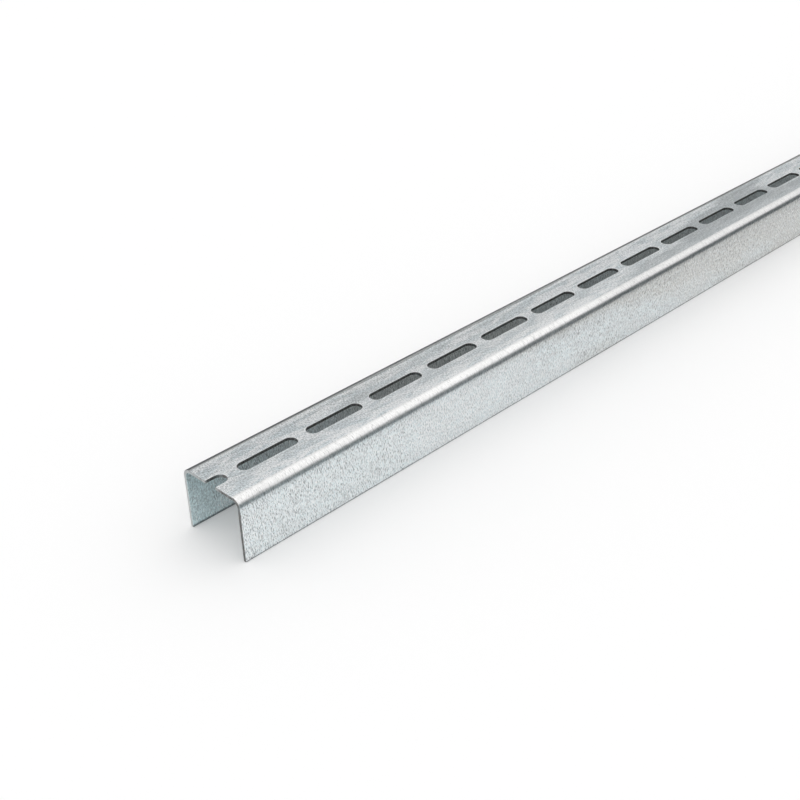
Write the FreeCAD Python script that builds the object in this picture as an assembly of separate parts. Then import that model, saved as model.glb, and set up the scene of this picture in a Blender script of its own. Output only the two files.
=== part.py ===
# A slotted stud channel for stiffening drywall framing, as at door openings.
# The real one is a single strip of hot-dip galvanised steel. It is punched with a row of
# slots and then roll-formed into a U: a slotted web and two plain flanges.
# It lies with its web up and stands on the edges of its flanges.
# X runs along the channel, Y across its web and Z up. The origin is on the floor, under
# the middle of the channel. Every size is in millimetres.

import FreeCAD, Part
import math
import os

# The rolled section
LENGTH = 2600.0
WEB_WIDTH = 48.8
FLANGE_HEIGHT = 40.0
SHEET_THICKNESS = 2.0
INNER_BEND_RADIUS = 3.5

# The row of slots along the middle of the web
SLOT_PITCH = 50.0
SLOT_LENGTH = 41.0
SLOT_WIDTH = 8.8
# The strip is punched before it is cut to length, so a cut goes through a slot:
# this is how deep the rest of that slot runs into the channel at its -X end.
END_NOTCH_DEPTH = 10.5

# How far a punch stands out past each face of the web
PUNCH_OVERRUN = 1.0


def point(x, y, z):
    return FreeCAD.Vector(x, y, z)


def round_corner(centre, radius, start_angle, end_angle):
    """A quarter bend in the YZ plane, from one angle to the other, in degrees from +Y."""
    around = []
    for angle in (start_angle, (start_angle + end_angle) / 2, end_angle):
        turn = math.radians(angle)
        around.append(centre + point(0, radius * math.cos(turn), radius * math.sin(turn)))
    return Part.Arc(*around).toShape()


def sheet_side(half_width, height, bend_radius):
    """One side of the bent sheet as edges, from the foot at -Y over the web to the foot at +Y."""
    bend_y = half_width - bend_radius
    bend_z = height - bend_radius
    return [
        Part.makeLine(point(0, -half_width, 0), point(0, -half_width, bend_z)),
        round_corner(point(0, -bend_y, bend_z), bend_radius, 180, 90),
        Part.makeLine(point(0, -bend_y, height), point(0, bend_y, height)),
        round_corner(point(0, bend_y, bend_z), bend_radius, 90, 0),
        Part.makeLine(point(0, half_width, bend_z), point(0, half_width, 0)),
    ]


def rolled_section():
    """The face of the section, between the outer and the inner side of the sheet."""
    half_web = WEB_WIDTH / 2
    half_gap = half_web - SHEET_THICKNESS
    outer = sheet_side(half_web, FLANGE_HEIGHT, INNER_BEND_RADIUS + SHEET_THICKNESS)
    inner = sheet_side(half_gap, FLANGE_HEIGHT - SHEET_THICKNESS, INNER_BEND_RADIUS)
    sheared_edges = [
        Part.makeLine(point(0, side * half_web, 0), point(0, side * half_gap, 0))
        for side in (-1, 1)
    ]
    outline = Part.Wire(Part.__sortEdges__(outer + inner + sheared_edges))
    return Part.Face(outline)


def slot_punch():
    """The punch for one slot: round-ended, lying along X, with its +X tip at the origin."""
    radius = SLOT_WIDTH / 2
    near = -SLOT_LENGTH + radius
    far = -radius
    bottom = FLANGE_HEIGHT - SHEET_THICKNESS - PUNCH_OVERRUN
    depth = SHEET_THICKNESS + 2 * PUNCH_OVERRUN
    outline = Part.Wire([
        Part.makeLine(point(near, -radius, bottom), point(far, -radius, bottom)),
        Part.Arc(
            point(far, -radius, bottom), point(0, 0, bottom), point(far, radius, bottom)
        ).toShape(),
        Part.makeLine(point(far, radius, bottom), point(near, radius, bottom)),
        Part.Arc(
            point(near, radius, bottom),
            point(-SLOT_LENGTH, 0, bottom),
            point(near, -radius, bottom),
        ).toShape(),
    ])
    return Part.Face(outline).extrude(point(0, 0, depth))


def slot_punches():
    """Every punch that meets the channel: the cut slot at each end and all those between."""
    one_punch = slot_punch()
    punches = []
    tip = END_NOTCH_DEPTH
    while tip - SLOT_LENGTH < LENGTH:
        punch = one_punch.copy()
        punch.translate(point(tip - LENGTH / 2, 0, 0))
        punches.append(punch)
        tip += SLOT_PITCH
    return punches


def stud_channel():
    """The whole channel: the section rolled out to its length, less the slots."""
    section = rolled_section()
    section.translate(point(-LENGTH / 2, 0, 0))
    rolled = section.extrude(point(LENGTH, 0, 0))
    return rolled.cut(Part.makeCompound(slot_punches()))


def main():
    os.makedirs("parts", exist_ok=True)
    channel = stud_channel().Solids[0]
    channel.exportStep("parts/stud_channel.step")
    print("stud_channel", channel.isValid(), round(channel.Volume), len(channel.Faces), "faces")


main()
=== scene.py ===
import math
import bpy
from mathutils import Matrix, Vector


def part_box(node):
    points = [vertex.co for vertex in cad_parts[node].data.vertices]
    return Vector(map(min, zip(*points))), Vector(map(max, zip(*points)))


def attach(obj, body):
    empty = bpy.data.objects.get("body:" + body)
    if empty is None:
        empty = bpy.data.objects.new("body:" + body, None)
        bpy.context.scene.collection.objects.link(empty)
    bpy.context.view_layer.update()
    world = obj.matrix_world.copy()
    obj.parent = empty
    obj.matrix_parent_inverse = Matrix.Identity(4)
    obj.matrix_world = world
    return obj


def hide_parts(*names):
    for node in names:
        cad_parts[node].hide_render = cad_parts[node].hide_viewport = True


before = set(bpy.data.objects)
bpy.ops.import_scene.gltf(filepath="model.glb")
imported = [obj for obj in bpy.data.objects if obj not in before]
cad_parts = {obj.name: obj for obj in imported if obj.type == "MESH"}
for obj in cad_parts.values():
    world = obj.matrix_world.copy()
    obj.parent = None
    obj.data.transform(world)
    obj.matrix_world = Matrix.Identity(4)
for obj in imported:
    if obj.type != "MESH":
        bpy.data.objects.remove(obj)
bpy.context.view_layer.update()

from types import SimpleNamespace

import bmesh
import bpy
from mathutils import Matrix, Vector

# Dresses the slotted stud channel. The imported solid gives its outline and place; the
# channel that shows is modelled again as sheet, with round bends and rolled edges.
# Sizes are in metres in the shared frame: X along the channel, Y across the web, Z up.

bl_info = {
    "name": "Slotted stud channel",
    "version": (1, 0, 0),
    "blender": (4, 5, 0),
    "location": "3D View > Sidebar > Channel",
    "description": "Models a slotted stud channel in galvanised sheet and its studio",
    "category": "Add Mesh",
}

CHANNEL_LOW, CHANNEL_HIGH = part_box("stud_channel")


class ChannelSizes(bpy.types.PropertyGroup):
    """The sizes of the rolled and punched sheet."""

    length: bpy.props.FloatProperty(
        name="Length", description="Length of the channel",
        default=CHANNEL_HIGH.x - CHANNEL_LOW.x, unit="LENGTH",
    )
    web_width: bpy.props.FloatProperty(
        name="Web width", description="Width over both flanges",
        default=CHANNEL_HIGH.y - CHANNEL_LOW.y, unit="LENGTH",
    )
    height: bpy.props.FloatProperty(
        name="Flange height", description="Height from the floor to the top of the web",
        default=CHANNEL_HIGH.z - CHANNEL_LOW.z, unit="LENGTH",
    )
    sheet: bpy.props.FloatProperty(
        name="Sheet", description="Thickness of the sheet", default=0.002, unit="LENGTH",
    )
    bend: bpy.props.FloatProperty(
        name="Bend radius", description="Outer radius of both bends",
        default=0.0055, unit="LENGTH",
    )
    pitch: bpy.props.FloatProperty(
        name="Slot pitch", description="From one slot to the next", default=0.05,
        unit="LENGTH",
    )
    slot_length: bpy.props.FloatProperty(
        name="Slot length", description="From end to end of a slot", default=0.041,
        unit="LENGTH",
    )
    slot_width: bpy.props.FloatProperty(
        name="Slot width", description="Across a slot", default=0.0088, unit="LENGTH",
    )
    first_slot: bpy.props.FloatProperty(
        name="First slot", default=-1.31, unit="LENGTH",
        description="Place along X of the middle of the slot that the cut goes through",
    )
    edge_roll: bpy.props.FloatProperty(
        name="Edge roll", description="How far the shear rolls an edge of the sheet over",
        default=0.0003, unit="LENGTH",
    )


class ZincFinish(bpy.types.PropertyGroup):
    """The colours of the galvanised sheet."""

    zinc: bpy.props.FloatVectorProperty(
        name="Zinc", description="Clean zinc on the flanges", size=4, subtype="COLOR",
        default=(0.855, 0.93, 0.955, 1),
    )
    rolled: bpy.props.FloatVectorProperty(
        name="Rolled zinc", description="Clean zinc on the web, pressed by the rollers", size=4,
        subtype="COLOR", default=(0.865, 0.893, 0.903, 1),
    )
    bloom: bpy.props.FloatVectorProperty(
        name="Bloom", description="Zinc under a bluish bloom", size=4, subtype="COLOR",
        default=(0.722, 0.775, 0.796, 1),
    )
    # Warm stain, darker too: the darkening is painted shade
    warm_and_shaded: bpy.props.FloatVectorProperty(
        name="Warm patches", description="Zinc with a faint warm stain", size=4,
        subtype="COLOR", default=(0.73, 0.732, 0.712, 1),
    )
    inner: bpy.props.FloatVectorProperty(
        name="Inner faces", description="The greener zinc on the inner faces", size=4,
        subtype="COLOR", default=(0.70, 0.84, 0.87, 1),
    )
    # Lighter zinc on the bends: partly burnished, partly a painted highlight where the softbox
    # shines in them
    burnished_and_highlight: bpy.props.FloatVectorProperty(
        name="Burnished zinc", description="Zinc that the rollers rubbed bright, on the bends",
        size=4, subtype="COLOR", default=(0.895, 0.89, 0.88, 1),
    )
    sheared: bpy.props.FloatVectorProperty(
        name="Sheared edge", description="Bare steel where the sheet was cut", size=4,
        subtype="COLOR", default=(0.26, 0.26, 0.255, 1),
    )
    grime: bpy.props.FloatVectorProperty(
        name="Grime", description="Dull specks on the bare steel", size=4,
        subtype="COLOR", default=(0.22, 0.27, 0.28, 1),
    )
    smeared: bpy.props.FloatVectorProperty(
        name="Smeared zinc", description="Zinc that the shear dragged over the cut ends",
        size=4, subtype="COLOR", default=(0.56, 0.58, 0.58, 1),
    )
    roughness: bpy.props.FloatProperty(
        name="Roughness", description="Roughness of clean zinc", default=0.30,
        subtype="FACTOR",
    )


class StudioSetup(bpy.types.PropertyGroup):
    """The floor, the light and the dark cards beside the channel."""

    floor: bpy.props.FloatVectorProperty(
        name="Floor", description="Colour of the floor", size=4, subtype="COLOR",
        default=(0.97, 0.97, 0.97, 1),
    )
    glow: bpy.props.FloatProperty(
        name="Glow", description="Share of the floor's light that comes through it from below",
        default=0.11, subtype="FACTOR",
    )
    softbox: bpy.props.FloatProperty(
        name="Softbox", description="How bright the softbox overhead looks", default=1.05,
    )
    surround: bpy.props.FloatProperty(
        name="Surround", description="Light from the rest of the studio", default=1.0,
    )
    flag: bpy.props.FloatVectorProperty(
        name="Flags", description="Colour of the dark cards that the metal mirrors",
        size=4, subtype="COLOR", default=(0.075, 0.088, 0.098, 1),
    )
    pale_flag: bpy.props.FloatVectorProperty(
        name="Paler flags", description="The flags' colour at the end nearest the camera",
        size=4, subtype="COLOR", default=(0.19, 0.22, 0.225, 1),
    )


# Two places nearer than this count as one
SLACK = 1e-5
# How many corners a whole slot's round ends have together, and the steps round a bend
SLOT_CORNERS = 32
BEND_STEPS = 12
# Half the width of the strip of web that holds the slots, and the width of the narrow
# strip on each side of a bend
SLOT_STRIP = 0.007
BEND_BORDER = 0.0006


def start_mesh():
    """Leaves nothing selected, so that an operator acts only on the piece in hand."""
    if bpy.context.object and bpy.context.object.mode != "OBJECT":
        bpy.ops.object.mode_set(mode="OBJECT")
    bpy.ops.object.select_all(action="DESELECT")


def middle_of(part):
    """The middle of a vertex, an edge or a face."""
    if isinstance(part, bmesh.types.BMVert):
        return part.co
    if isinstance(part, bmesh.types.BMEdge):
        return (part.verts[0].co + part.verts[1].co) / 2
    return part.calc_center_median()


def pick(kind, test):
    """In edit mode, selects just the verts, edges or faces whose middle passes a test."""
    bpy.context.tool_settings.mesh_select_mode = [
        kind == each for each in ("verts", "edges", "faces")
    ]
    bpy.ops.mesh.select_all(action="DESELECT")
    mesh = bpy.context.object.data
    shape = bmesh.from_edit_mesh(mesh)
    picked = [part for part in getattr(shape, kind) if test(middle_of(part))]
    if not picked:
        raise RuntimeError("nothing to select")
    for part in picked:
        part.select_set(True)
    shape.select_flush_mode()
    bmesh.update_edit_mesh(mesh)


def near(a, b):
    """Whether two places along an axis are the same one."""
    return abs(a - b) < SLACK


def cut_across(axis, place, clear_outer=False, clear_inner=False):
    """Cuts the whole mesh by a plane square to an axis, and drops one side if told to."""
    point = [0, 0, 0]
    normal = [0, 0, 0]
    point[axis] = place
    normal[axis] = 1
    bpy.ops.mesh.select_all(action="SELECT")
    bpy.ops.mesh.bisect(
        plane_co=point, plane_no=normal, clear_outer=clear_outer, clear_inner=clear_inner
    )


def finish_modifier(obj, kind, **settings):
    """Gives the object a modifier with its settings, and applies it."""
    modifier = obj.modifiers.new(kind.title(), kind)
    for name, value in settings.items():
        setattr(modifier, name, value)
    bpy.ops.object.modifier_apply(modifier=modifier.name)


def settle():
    """Puts the object in hand at the origin, unturned and unscaled, its place in its mesh."""
    bpy.ops.object.transform_apply(location=True, rotation=True, scale=True)


def one_pitch(sizes):
    """One pitch of the flat web with its slot, round the place of the first slot."""
    flat = sizes.web_width / 2 - sizes.bend
    middle = (sizes.first_slot, 0, sizes.height)
    bpy.ops.mesh.primitive_plane_add(size=1, location=middle)
    web = bpy.context.object
    web.scale = (sizes.pitch, 2 * flat, 1)
    settle()
    bpy.ops.object.mode_set(mode="EDIT")
    for place in (SLOT_STRIP, flat - BEND_BORDER):
        for side in (-1, 1):
            cut_across(1, side * place)
    pick("faces", lambda face: abs(face.y) < SLOT_STRIP)
    bpy.ops.mesh.delete(type="ONLY_FACE")

    # The slot: a ring drawn round its end circle, pulled apart to the slot's length
    step = 2 * math.pi / SLOT_CORNERS
    ring = sizes.slot_width / 2 / math.cos(step / 2)
    bpy.ops.mesh.primitive_circle_add(
        vertices=SLOT_CORNERS, radius=ring, location=middle, rotation=(0, 0, step / 2),
    )
    pull = (sizes.slot_length - sizes.slot_width) / 2
    for side in (-1, 1):
        pick("verts", lambda corner: abs(corner.y) < ring + SLACK
             and 0 < side * (corner.x - sizes.first_slot) < ring + SLACK)
        bpy.ops.transform.translate(value=(side * pull, 0, 0))
    pick("edges", lambda edge: abs(edge.y) < SLOT_STRIP + SLACK)
    bpy.ops.mesh.fill(use_beauty=True)
    bpy.ops.object.mode_set(mode="OBJECT")
    return web


def slotted_web(sizes):
    """The whole flat web: its first pitch, repeated and cut to the channel's length."""
    web = one_pitch(sizes)
    finish_modifier(
        web, "ARRAY", count=math.ceil(sizes.length / sizes.pitch) + 1,
        use_relative_offset=False, use_constant_offset=True,
        constant_offset_displace=(sizes.pitch, 0, 0), use_merge_vertices=True,
        merge_threshold=SLACK,
    )
    bpy.ops.object.mode_set(mode="EDIT")
    cut_across(0, -sizes.length / 2, clear_inner=True)
    cut_across(0, sizes.length / 2, clear_outer=True)
    bpy.ops.object.mode_set(mode="OBJECT")
    return web


def roll_flanges(sizes):
    """Rolls each side of the flat web in hand round its bend and down to the floor."""
    half = sizes.web_width / 2
    bend_foot = sizes.height - sizes.bend
    bpy.ops.object.mode_set(mode="EDIT")
    for side in (-1, 1):
        flat = side * (half - sizes.bend)
        pick("edges", lambda edge: near(edge.y, flat))
        bpy.ops.mesh.spin(
            steps=BEND_STEPS, angle=side * math.pi / 2, center=(0, flat, bend_foot),
            axis=(1, 0, 0),
        )
        pick("edges", lambda edge: near(edge.y, side * half) and near(edge.z, bend_foot))
        for drop in (BEND_BORDER, bend_foot - BEND_BORDER):
            bpy.ops.mesh.extrude_region_move(TRANSFORM_OT_translate={"value": (0, 0, -drop)})
    bpy.ops.mesh.select_all(action="SELECT")
    bpy.ops.mesh.remove_doubles(threshold=SLACK)
    bpy.ops.mesh.normals_make_consistent(inside=False)
    bpy.ops.object.mode_set(mode="OBJECT")


class Nodes:
    """A short way to write the nodes of a material or of the world."""

    def __init__(self, tree):
        self.tree = tree
        tree.nodes.clear()

    def add(self, kind, inputs=(), **settings):
        """A node with its settings, and then its inputs by name or number."""
        node = self.tree.nodes.new(kind)
        for name, value in settings.items():
            setattr(node, name, value)
        for name, value in dict(inputs).items():
            if isinstance(value, bpy.types.NodeSocket):
                self.tree.links.new(value, node.inputs[name])
            else:
                node.inputs[name].default_value = value
        return node

    def show(self, kind, inputs, output="ShaderNodeOutputMaterial"):
        """The shader that the surface, or the world, shows."""
        shader = self.add(kind, inputs)
        self.add(output, {"Surface": shader.outputs[0]})

    def place(self):
        """The place of a point, in metres in the shared frame."""
        return self.add("ShaderNodeTexCoord").outputs["Object"]

    def axes(self, place):
        """The X, Y and Z of a place."""
        return self.add("ShaderNodeSeparateXYZ", {0: place}).outputs

    def scaled(self, vector, factor):
        """A place or a colour, multiplied by one number."""
        inputs = {0: vector, "Scale": factor}
        return self.add("ShaderNodeVectorMath", inputs, operation="SCALE").outputs[0]

    def math(self, operation, a, b=0.0):
        """One step of arithmetic on two values, or on the first alone."""
        return self.add("ShaderNodeMath", {0: a, 1: b}, operation=operation).outputs[0]

    def times(self, first, *others):
        """All the values multiplied together."""
        for value in others:
            first = self.math("MULTIPLY", first, value)
        return first

    def noise(self, place, scale, detail=2.0, roughness=0.5, distortion=0.0, shift=(0, 0, 0)):
        """Noise with its own scale along X, Y and Z; the shift picks another stretch of it."""
        stretched = self.add(
            "ShaderNodeVectorMath", {0: place, 1: scale, 2: shift}, operation="MULTIPLY_ADD"
        )
        return self.add("ShaderNodeTexNoise", {
            "Vector": stretched.outputs[0], "Scale": 1.0, "Detail": detail,
            "Roughness": roughness, "Distortion": distortion,
        }).outputs[0]

    def ramp(self, value, low, high, start=0.0, end=1.0):
        """A smooth step from start to end as value goes from low to high."""
        return self.add("ShaderNodeMapRange", {
            "Value": value, "From Min": low, "From Max": high, "To Min": start, "To Max": end,
        }, interpolation_type="SMOOTHSTEP").outputs[0]

    def fade(self, share, start, end):
        """A smooth step from start, at no share, to end, at a whole one."""
        return self.ramp(share, 0.0, 1.0, start, end)

    def blend(self, factor, a, b):
        """A number between a and b."""
        inputs = {0: factor, 2: a, 3: b}
        return self.add("ShaderNodeMix", inputs, data_type="FLOAT").outputs[0]

    def mix(self, factor, a, b):
        """A colour between a and b."""
        inputs = {0: factor, 6: a, 7: b}
        return self.add("ShaderNodeMix", inputs, data_type="RGBA").outputs[2]

    def across(self, value, stops):
        """A number read off straight lines between stops, each a value and its number."""
        low, high = stops[0][0], stops[-1][0]
        place = self.add("ShaderNodeMapRange", {"Value": value, "From Min": low, "From Max": high})
        node = self.add("ShaderNodeValToRGB", {"Fac": place.outputs[0]})
        ramp = node.color_ramp
        while len(ramp.elements) < len(stops):
            ramp.elements.new(0.5)
        for element, (stop, number) in zip(ramp.elements, stops):
            element.position = (stop - low) / (high - low)
            element.color = (number, number, number, 1)
        return node.outputs[0]


def new_material(name):
    """An empty material, and the way to write its nodes."""
    material = bpy.data.materials.new(name)
    material.use_nodes = True
    return material, Nodes(material.node_tree)


# The zinc's marks are written in millimetres
MM = 1000.0

# How light the web is in stripes along it: Y in mm and a shade of grey, where NO_STRIPE leaves the
# zinc as it is. The stripes on the web are roller marks; the dark band in the bend at +Y is a
# painted reflection of the dark ground behind it, and the lighter top of the bend at -Y a painted
# highlight
NO_STRIPE = 0.5
ROLLER_STRIPES_AND_BEND_REFLECTIONS = (
    (-24.4, NO_STRIPE), (-18.5, 0.56), (-15, 0.54), (-12, NO_STRIPE), (-7, 0.475), (0, 0.51),
    (12, 0.51), (14, 0.465), (16, 0.56), (17.3, 0.58), (18.4, 0.3), (19.4, 0.32), (21, 0.44),
    (24.4, NO_STRIPE),
)


def distance_to_slot(n, along, side, sizes):
    """How far a point of the web is from the rim of the nearest slot, in mm."""
    pitch = MM * sizes.pitch
    straight = MM * (sizes.slot_length - sizes.slot_width) / 2
    radius = MM * sizes.slot_width / 2
    in_pitch = n.math("SUBTRACT", along, MM * sizes.first_slot - pitch / 2)
    in_pitch = n.math("FLOORED_MODULO", in_pitch, pitch)
    from_middle = n.math("ABSOLUTE", n.math("SUBTRACT", in_pitch, pitch / 2))
    past_straight = n.math("MAXIMUM", n.math("SUBTRACT", from_middle, straight), 0.0)
    squares = n.math("ADD", n.times(past_straight, past_straight), n.times(side, side))
    return n.math("SUBTRACT", n.math("SQRT", squares), radius)


def sheet_places(n, sizes):
    """Where a point of the sheet is, in mm, and how much it belongs to each part of it."""
    place = n.scaled(n.place(), MM)
    along, side, up = n.axes(place)
    off_middle = n.math("ABSOLUTE", side)
    half = MM * sizes.web_width / 2
    top = MM * sizes.height
    bend = MM * sizes.bend

    # Each part fades into the next over a millimetre or two
    # The upper part of each bend takes lighter zinc: partly burnished, partly a painted highlight
    burnished_and_highlight = n.times(
        n.ramp(off_middle, half - bend - 1.4, half - bend), n.ramp(up, top - 4.0, top - 2.2),
    )
    inside = n.times(
        n.ramp(off_middle, half - 0.9, half - 1.5), n.ramp(up, top - 1.3, top - 2.5),
    )
    return SimpleNamespace(
        place=place, side=side, up=up,
        bend_foot=top - bend,
        web=n.ramp(up, top - bend, top - MM * sizes.sheet),
        bend=burnished_and_highlight,
        inside=inside,
        from_slot=distance_to_slot(n, along, side, sizes),
        from_end=n.math("SUBTRACT", MM * sizes.length / 2, n.math("ABSOLUTE", along)),
    )


def zinc_marks(n, at):
    """The patterns in the zinc, from patches as long as a few slots to hair lines.

    A scale is about how many marks there are in a millimetre along X, Y and Z."""
    place = at.place
    # Slow patches of warm stain that is darker too, as painted shade
    stain_and_shade = n.noise(place, (0.0045, 0.012, 0.012), shift=(0, 43.66, 0))
    # Slow patches: dull bloom on the web, and painted shade on the bends
    dull_and_shade = n.noise(place, (0.0045, 0.02, 0.02), shift=(0, 50.02, 0))
    calm = n.noise(place, (0.007, 0.012, 0.012), shift=(0, 61.79, 0))
    pits = n.noise(place, (1.3, 0.65, 0.65), detail=1, distortion=0.3)
    stroke_scale = (2.15, 0.56, 0.56)
    return SimpleNamespace(
        stained_and_shaded=n.ramp(stain_and_shade, 0.42, 0.55),
        dull_and_shade=dull_and_shade,
        dulled=n.times(n.ramp(dull_and_shade, 0.50, 0.58), at.web),
        calm=n.ramp(calm, 0.44, 0.56),
        wander=n.noise(place, (0.008, 0.01, 0.01), detail=1, shift=(0, 18.13, 0)),
        cloud=n.noise(place, (0.05, 0.17, 0.17), detail=4, roughness=0.55, distortion=0.5),
        streak=n.noise(place, (0.07, 1.1, 1.1), detail=3, roughness=0.6),
        mottle=n.noise(place, (0.75, 0.75, 0.75), detail=3, roughness=0.65),
        pits=n.ramp(pits, 0.58, 0.68),
        hatch=n.noise(place, (1.8, 0.65, 0.65), roughness=0.6),
        stroke=n.noise(place, stroke_scale),
        # The same strokes shifted along X, which light one side of each stroke: a painted
        # highlight
        stroke_highlight=n.noise(place, stroke_scale, shift=(0.8, 0, 0)),
        crack=n.noise(place, (2.3, 0.24, 0.24), detail=3, roughness=0.7),
    )


def zinc_colour(n, at, marks, finish):
    """Patches of bloom and of warm stain, the stain darker as painted shade, cleaner zinc on the
    web and round the slots, and lighter zinc on the bends, partly burnished and partly painted
    highlight.
    """
    rolled = n.math("MAXIMUM", at.web, n.ramp(marks.cloud, 0.40, 0.60, 0.0, 0.6))
    bloomed = n.times(
        n.ramp(marks.cloud, 0.44, 0.60), n.ramp(at.from_slot, 0.3, 2.0, 0.2, 1.0),
        n.fade(at.web, 0.15, 1.0),
    )
    # Warm stain, darker too as painted shade
    warmed_and_shaded = n.times(
        marks.stained_and_shaded, n.fade(at.web, 1.0, 0.2), n.ramp(marks.mottle, 0.38, 0.62, 0.55, 1.2),
    )
    greened = n.times(at.inside, n.ramp(at.from_end, 8.0, 45.0, 0.95, 0.25))
    colour = n.mix(rolled, finish.zinc, finish.rolled)
    colour = n.mix(bloomed, colour, finish.bloom)
    colour = n.mix(n.times(marks.dulled, 0.7), colour, finish.bloom)
    colour = n.mix(warmed_and_shaded, colour, finish.warm_and_shaded)
    colour = n.mix(greened, colour, finish.inner)
    # Lighter zinc on the bends, partly a painted highlight
    return n.mix(n.times(at.bend, 0.9), colour, finish.burnished_and_highlight)


def flange_tone(n, at, marks):
    """Dark strokes across the flange, each with a painted highlight on one side as if lit from
    there, and a darker line along the foot, which on the inner faces is painted shade.

    In calm stretches the strokes are paler, and their painted highlights and the hatch stronger."""
    calm = marks.calm
    strokes = n.times(
        n.ramp(marks.stroke, 0.30, 0.49, n.fade(calm, 0.33, 0.50), 1.0),
        n.ramp(marks.stroke, 0.50, 0.70, 1.0, 1.14),
        # A painted highlight on one side of each stroke
        n.ramp(marks.stroke_highlight, 0.34, 0.46, n.fade(calm, 1.36, 1.65), 1.0),
        n.fade(marks.pits, 1.02, n.fade(calm, 0.64, 0.90)),
        n.ramp(marks.hatch, 0.34, 0.66, n.fade(calm, 0.87, 0.70), n.fade(calm, 1.12, 1.25)),
    )
    softened = n.times(at.inside, n.ramp(at.from_end, 10.0, 30.0, 0.45, 0.0))
    # On the inner faces: mottled grain, lighter near the open end and darker deeper in, as painted
    # light and shade
    inner_grain_and_end_light = n.times(
        n.ramp(marks.mottle, 0.36, 0.64, 0.80, 1.15), n.ramp(at.from_end, 8.0, 45.0, 1.07, 0.98),
    )
    # Darker along the foot; on the inner faces this is painted shade where the flange meets the
    # floor
    outer_foot = n.ramp(at.up, 0.9, 2.1, 0.3, 1.0)
    inner_foot_shade = n.ramp(at.up, 0.5, 1.1, 0.36, 1.0)
    return n.times(
        n.blend(softened, strokes, 1.0),
        n.blend(at.inside, 1.0, inner_grain_and_end_light),
        n.ramp(at.up, at.bend_foot - 3.0, at.bend_foot, 1.0, 0.92),
        n.blend(marks.stained_and_shaded, 1.0, n.ramp(marks.stroke, 0.34, 0.62, 0.91, 1.08)),
        n.blend(at.inside, inner_foot_shade, outer_foot),
    )


def web_tone(n, at, marks):
    """Fine marks on the web, a lighter rim round each slot as painted highlight, and strokes
    toward +Y.
    """
    back = n.ramp(at.side, 4.0, 8.0)
    return n.times(
        n.ramp(marks.hatch, 0.34, 0.66, 0.67, 1.22),
        n.ramp(marks.streak, 0.36, 0.64, 0.94, 1.06),
        n.ramp(marks.mottle, 0.34, 0.66, 0.89, 1.07),
        n.ramp(marks.cloud, 0.38, 0.62, 1.035, 0.965),
        # Lighter close to each slot's rim: a painted highlight on the rolled edge
        n.ramp(at.from_slot, 0.2, 1.6, 1.09, 1.0),
        n.fade(marks.dulled, 1.0, 0.73),
        n.blend(back, 1.0, n.ramp(marks.stroke, 0.30, 0.56, 0.74, 1.06)),
    )


def bend_tone(n, marks):
    """Hair cracks across the bend, where the zinc was stretched, a fine hatch, and darker patches
    that are painted shade on its highlight.
    """
    return n.times(
        n.ramp(marks.crack, 0.52, 0.72, 1.0, 0.56),
        n.ramp(marks.hatch, 0.34, 0.66, 0.90, 1.07),
        # Darker in patches: painted shade on the bend's highlight
        n.ramp(marks.dull_and_shade, 0.50, 0.60, 1.0, 0.89),
    )


def zinc_relief(n, at, marks):
    """The zinc stands a little proud between strokes and pits; the web is pressed flatter."""
    flange = n.times(n.math("SUBTRACT", marks.stroke, n.times(marks.pits, 0.3)), 2.2)
    web = n.math("ADD", n.times(marks.hatch, 0.45), n.times(marks.streak, 0.35))
    return n.blend(at.web, flange, web)


def zinc_material(finish, sizes):
    """Galvanised sheet: satin zinc with strokes and pits, roller marks and a cloudy bloom."""
    material, n = new_material("galvanised_zinc")
    at = sheet_places(n, sizes)
    marks = zinc_marks(n, at)
    tone = n.blend(at.web, flange_tone(n, at, marks), web_tone(n, at, marks))
    tone = n.blend(at.bend, tone, bend_tone(n, marks))
    # The stripes along the web, with a painted reflection in the bend at +Y and a painted
    # highlight in the bend at -Y
    stripe_place = n.math("ADD", at.side, n.ramp(marks.wander, 0.3, 0.7, -0.9, 0.9))
    tone = n.times(tone, n.across(stripe_place, ROLLER_STRIPES_AND_BEND_REFLECTIONS), 1 / NO_STRIPE)
    bump = n.add("ShaderNodeBump", {
        "Strength": 1.0, "Distance": 0.00016, "Height": zinc_relief(n, at, marks),
    })
    n.show("ShaderNodeBsdfPrincipled", {
        "Base Color": n.scaled(zinc_colour(n, at, marks, finish), tone),
        "Metallic": 1.0,
        "Roughness": n.ramp(marks.cloud, 0.3, 0.7, finish.roughness, finish.roughness + 0.06),
        "Normal": bump.outputs[0],
    })
    return material


def sheared_material(finish, sizes):
    """Bare steel where the sheet was punched or cut, scored in the direction of the cut.

    The shear that cut the ends smeared some zinc over them, most toward +Y."""
    material, n = new_material("sheared_steel")
    place = n.place()
    along, side, _ = n.axes(place)
    score = n.noise(place, (1800, 1800, 350))
    dirt = n.noise(place, (220, 220, 220))
    end = sizes.length / 2
    at_end = n.ramp(n.math("ABSOLUTE", along), end - 0.002, end - 0.0005)
    ragged_side = n.math("ADD", side, n.ramp(dirt, 0.3, 0.7, -0.012, 0.012))
    smeared = n.times(at_end, n.ramp(ragged_side, -0.020, 0.018))
    in_score = [0.45 * part for part in finish.sheared[:3]] + [1]
    colour = n.mix(n.ramp(score, 0.35, 0.65), finish.sheared, in_score)
    colour = n.mix(n.ramp(dirt, 0.5, 0.7, 0.0, 0.5), colour, finish.grime)
    colour = n.mix(smeared, colour, finish.smeared)
    bump = n.add("ShaderNodeBump", {"Strength": 1.0, "Distance": 0.00004, "Height": score})
    n.show("ShaderNodeBsdfPrincipled", {
        "Base Color": colour, "Metallic": 1.0, "Roughness": n.ramp(score, 0.3, 0.7, 0.4, 0.6),
        "Normal": bump.outputs[0],
    })
    return material


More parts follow.
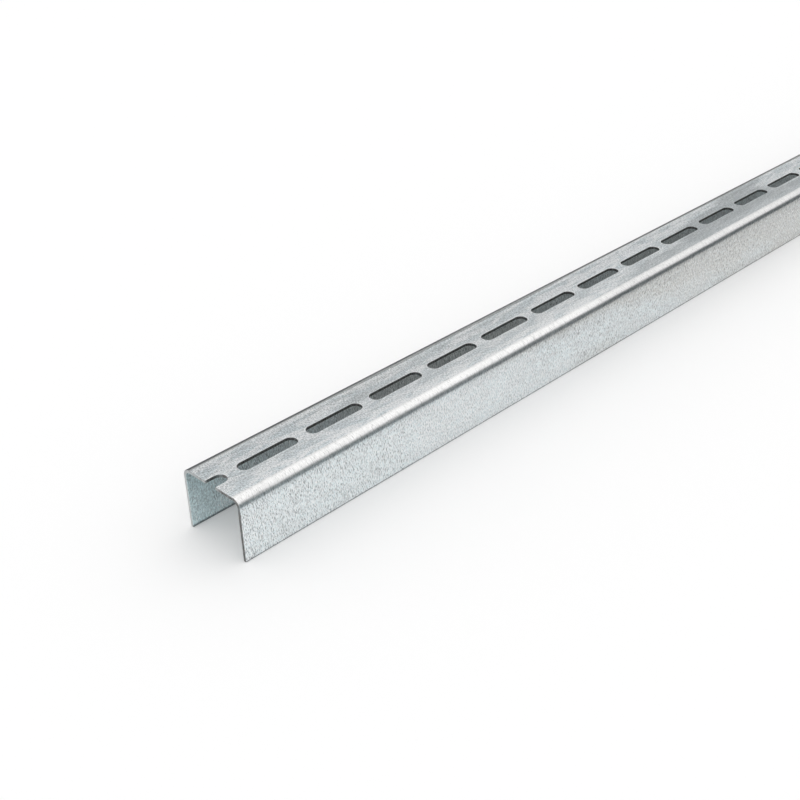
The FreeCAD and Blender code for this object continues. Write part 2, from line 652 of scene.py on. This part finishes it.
class OBJECT_OT_stud_channel(bpy.types.Operator):
    """Model the slotted channel: punched web, round bends, flanges and rolled edges"""

    bl_idname = "object.stud_channel"
    bl_label = "Stud channel"

    def execute(self, context):
        sizes = context.scene.channel_sizes
        finish = context.scene.zinc_finish
        start_mesh()
        channel = slotted_web(sizes)
        roll_flanges(sizes)
        channel.name = channel.data.name = "galvanised_channel"
        channel.data.materials.append(zinc_material(finish, sizes))
        channel.data.materials.append(sheared_material(finish, sizes))
        finish_modifier(
            channel, "SOLIDIFY", thickness=sizes.sheet, offset=-1, use_even_offset=True,
            material_offset_rim=1,
        )
        bpy.ops.object.shade_smooth()
        finish_modifier(
            channel, "BEVEL", width=sizes.edge_roll, segments=3, limit_method="ANGLE",
            angle_limit=math.radians(60), harden_normals=True, use_clamp_overlap=False,
        )
        settle()
        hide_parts("stud_channel")
        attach(channel, "root")
        return {"FINISHED"}


WHITE = (1, 1, 1, 1)
FLOOR_SIZE = 60
# Between these distances from the middle the floor turns to plain white backdrop
FLOOR_FADE = (3.0, 6.0)
SOFTBOX_PLACE = (0, -2, 5)
SOFTBOX_SIZE = (18, 14)

# The camera's angles are in degrees: its heading from +Y toward +X, how far it looks down
# and how far it leans over. Its focal length is in pixels of a picture of that width.
CAMERA_HEADING = 44.091
CAMERA_DOWN = 30.735
CAMERA_LEAN = 2.102
CAMERA_PLACE = (-1.603010, -0.460538, 0.409734)
FOCAL_PIXELS = 1227.942
PICTURE_PIXELS = 800
SENSOR_WIDTH = 36


def studio_plane(name, middle, size, tilt, material):
    """A flat piece of the studio, which isn't part of the channel."""
    bpy.ops.mesh.primitive_plane_add(size=1, location=middle, rotation=(tilt, 0, 0))
    plane = bpy.context.object
    plane.scale = (size[0], size[1], 1)
    settle()
    plane.name = plane.data.name = name
    plane.data.materials.append(material)
    return plane


def studio_floor(studio):
    """A pale floor that glows a little, and far out is plain white."""
    material, n = new_material("studio_floor")
    inputs = {0: n.place()}
    distance = n.add("ShaderNodeVectorMath", inputs, operation="LENGTH").outputs["Value"]
    paper = n.add("ShaderNodeBsdfDiffuse", {"Color": studio.floor})
    backdrop = n.add("ShaderNodeEmission", {"Color": WHITE, "Strength": 1.0})
    n.show("ShaderNodeMixShader", {
        0: n.ramp(distance, *FLOOR_FADE, studio.glow, 1.0),
        1: paper.outputs[0],
        2: backdrop.outputs[0],
    })
    studio_plane("studio_floor", (0, 0, 0), (FLOOR_SIZE, FLOOR_SIZE), 0, material)


def overhead_softbox(studio):
    """The broad soft light over the channel."""
    material, n = new_material("softbox")
    n.show("ShaderNodeEmission", {"Color": WHITE, "Strength": studio.softbox})
    softbox = studio_plane("softbox", SOFTBOX_PLACE, SOFTBOX_SIZE, math.pi, material)
    softbox.visible_camera = False


def flag_card(name, place, foot, top, length, colour, far=None, turn=None):
    """An upright card that only mirrors in the metal, as a flag does in a studio.

    Its middle is at a place along X and Y, and it reaches from foot to top. With a far
    colour it turns to that along X, between the two places in turn."""
    material, n = new_material(name)
    if far:
        along = n.axes(n.place())[0]
        colour = n.mix(n.ramp(along, *turn), colour, far)
    n.show("ShaderNodeEmission", {"Color": colour, "Strength": 1.0})
    middle = (*place, (foot + top) / 2)
    card = studio_plane(name, middle, (length, top - foot), math.pi / 2, material)
    card.visible_camera = False
    card.visible_diffuse = False
    card.visible_shadow = False
    card.visible_transmission = False


def flag_cards(studio):
    """The cards on both sides: tall ones a metre off, and low strips close by."""
    dark, grey = studio.flag, studio.pale_flag
    flag_card("front_flag", (0, -1.0), 0, 0.60, 8, grey, dark, (-1.1, 0.0))
    flag_card("front_flag_top", (1.5, -1.0), 0.60, 0.88, 5, WHITE, dark, (-0.7, 0.0))
    flag_card("front_strip", (0, -0.10), 0, 0.055, 5, grey, dark, (-1.35, -0.95))
    flag_card("back_flag", (0, 1.0), 0, 0.74, 8, dark)
    flag_card("back_strip", (0, 0.10), 0, 0.07, 5, dark)


def studio_world(scene, studio):
    """Even white light from all round."""
    world = bpy.data.worlds.new("studio")
    world.use_nodes = True
    Nodes(world.node_tree).show(
        "ShaderNodeBackground", {"Color": WHITE, "Strength": studio.surround},
        output="ShaderNodeOutputWorld",
    )
    scene.world = world


def photo_camera(scene):
    """The camera, where the photo's stood."""
    bpy.ops.object.camera_add()
    camera = bpy.context.object
    camera.name = "photo_camera"
    heading = math.radians(CAMERA_HEADING)
    down = math.radians(CAMERA_DOWN)
    forward = Vector((
        math.sin(heading) * math.cos(down),
        math.cos(heading) * math.cos(down),
        -math.sin(down),
    ))
    upright = forward.to_track_quat("-Z", "Y").to_matrix()
    lean = Matrix.Rotation(-math.radians(CAMERA_LEAN), 3, "Z")
    camera.rotation_euler = (upright @ lean).to_euler()
    camera.location = CAMERA_PLACE
    camera.data.sensor_width = SENSOR_WIDTH
    camera.data.lens = FOCAL_PIXELS / PICTURE_PIXELS * SENSOR_WIDTH
    scene.camera = camera


class SCENE_OT_channel_studio(bpy.types.Operator):
    """Set up the pale floor, the soft light, the dark cards and the camera"""

    bl_idname = "scene.channel_studio"
    bl_label = "Studio"

    def execute(self, context):
        scene = context.scene
        studio = scene.studio_setup
        start_mesh()
        studio_floor(studio)
        overhead_softbox(studio)
        flag_cards(studio)
        studio_world(scene, studio)
        photo_camera(scene)
        scene.view_settings.view_transform = "Standard"
        return {"FINISHED"}


class VIEW3D_PT_stud_channel(bpy.types.Panel):
    """Lists the channel's sizes, its finish and the studio"""

    bl_label = "Stud channel"
    bl_idname = "VIEW3D_PT_stud_channel"
    bl_space_type = "VIEW_3D"
    bl_region_type = "UI"
    bl_category = "Channel"

    def draw(self, context):
        for group, operator in (
            (context.scene.channel_sizes, "object.stud_channel"),
            (context.scene.zinc_finish, None),
            (context.scene.studio_setup, "scene.channel_studio"),
        ):
            box = self.layout.box()
            for name in group.__annotations__:
                box.prop(group, name)
            if operator:
                box.operator(operator)


CLASSES = (
    ChannelSizes, ZincFinish, StudioSetup,
    OBJECT_OT_stud_channel, SCENE_OT_channel_studio, VIEW3D_PT_stud_channel,
)


def register():
    for cls in CLASSES:
        bpy.utils.register_class(cls)
    bpy.types.Scene.channel_sizes = bpy.props.PointerProperty(type=ChannelSizes)
    bpy.types.Scene.zinc_finish = bpy.props.PointerProperty(type=ZincFinish)
    bpy.types.Scene.studio_setup = bpy.props.PointerProperty(type=StudioSetup)


def unregister():
    del bpy.types.Scene.studio_setup
    del bpy.types.Scene.zinc_finish
    del bpy.types.Scene.channel_sizes
    for cls in reversed(CLASSES):
        bpy.utils.unregister_class(cls)


def main():
    register()
    bpy.ops.object.stud_channel()
    bpy.ops.scene.channel_studio()


if __name__ == "__main__":
    main()
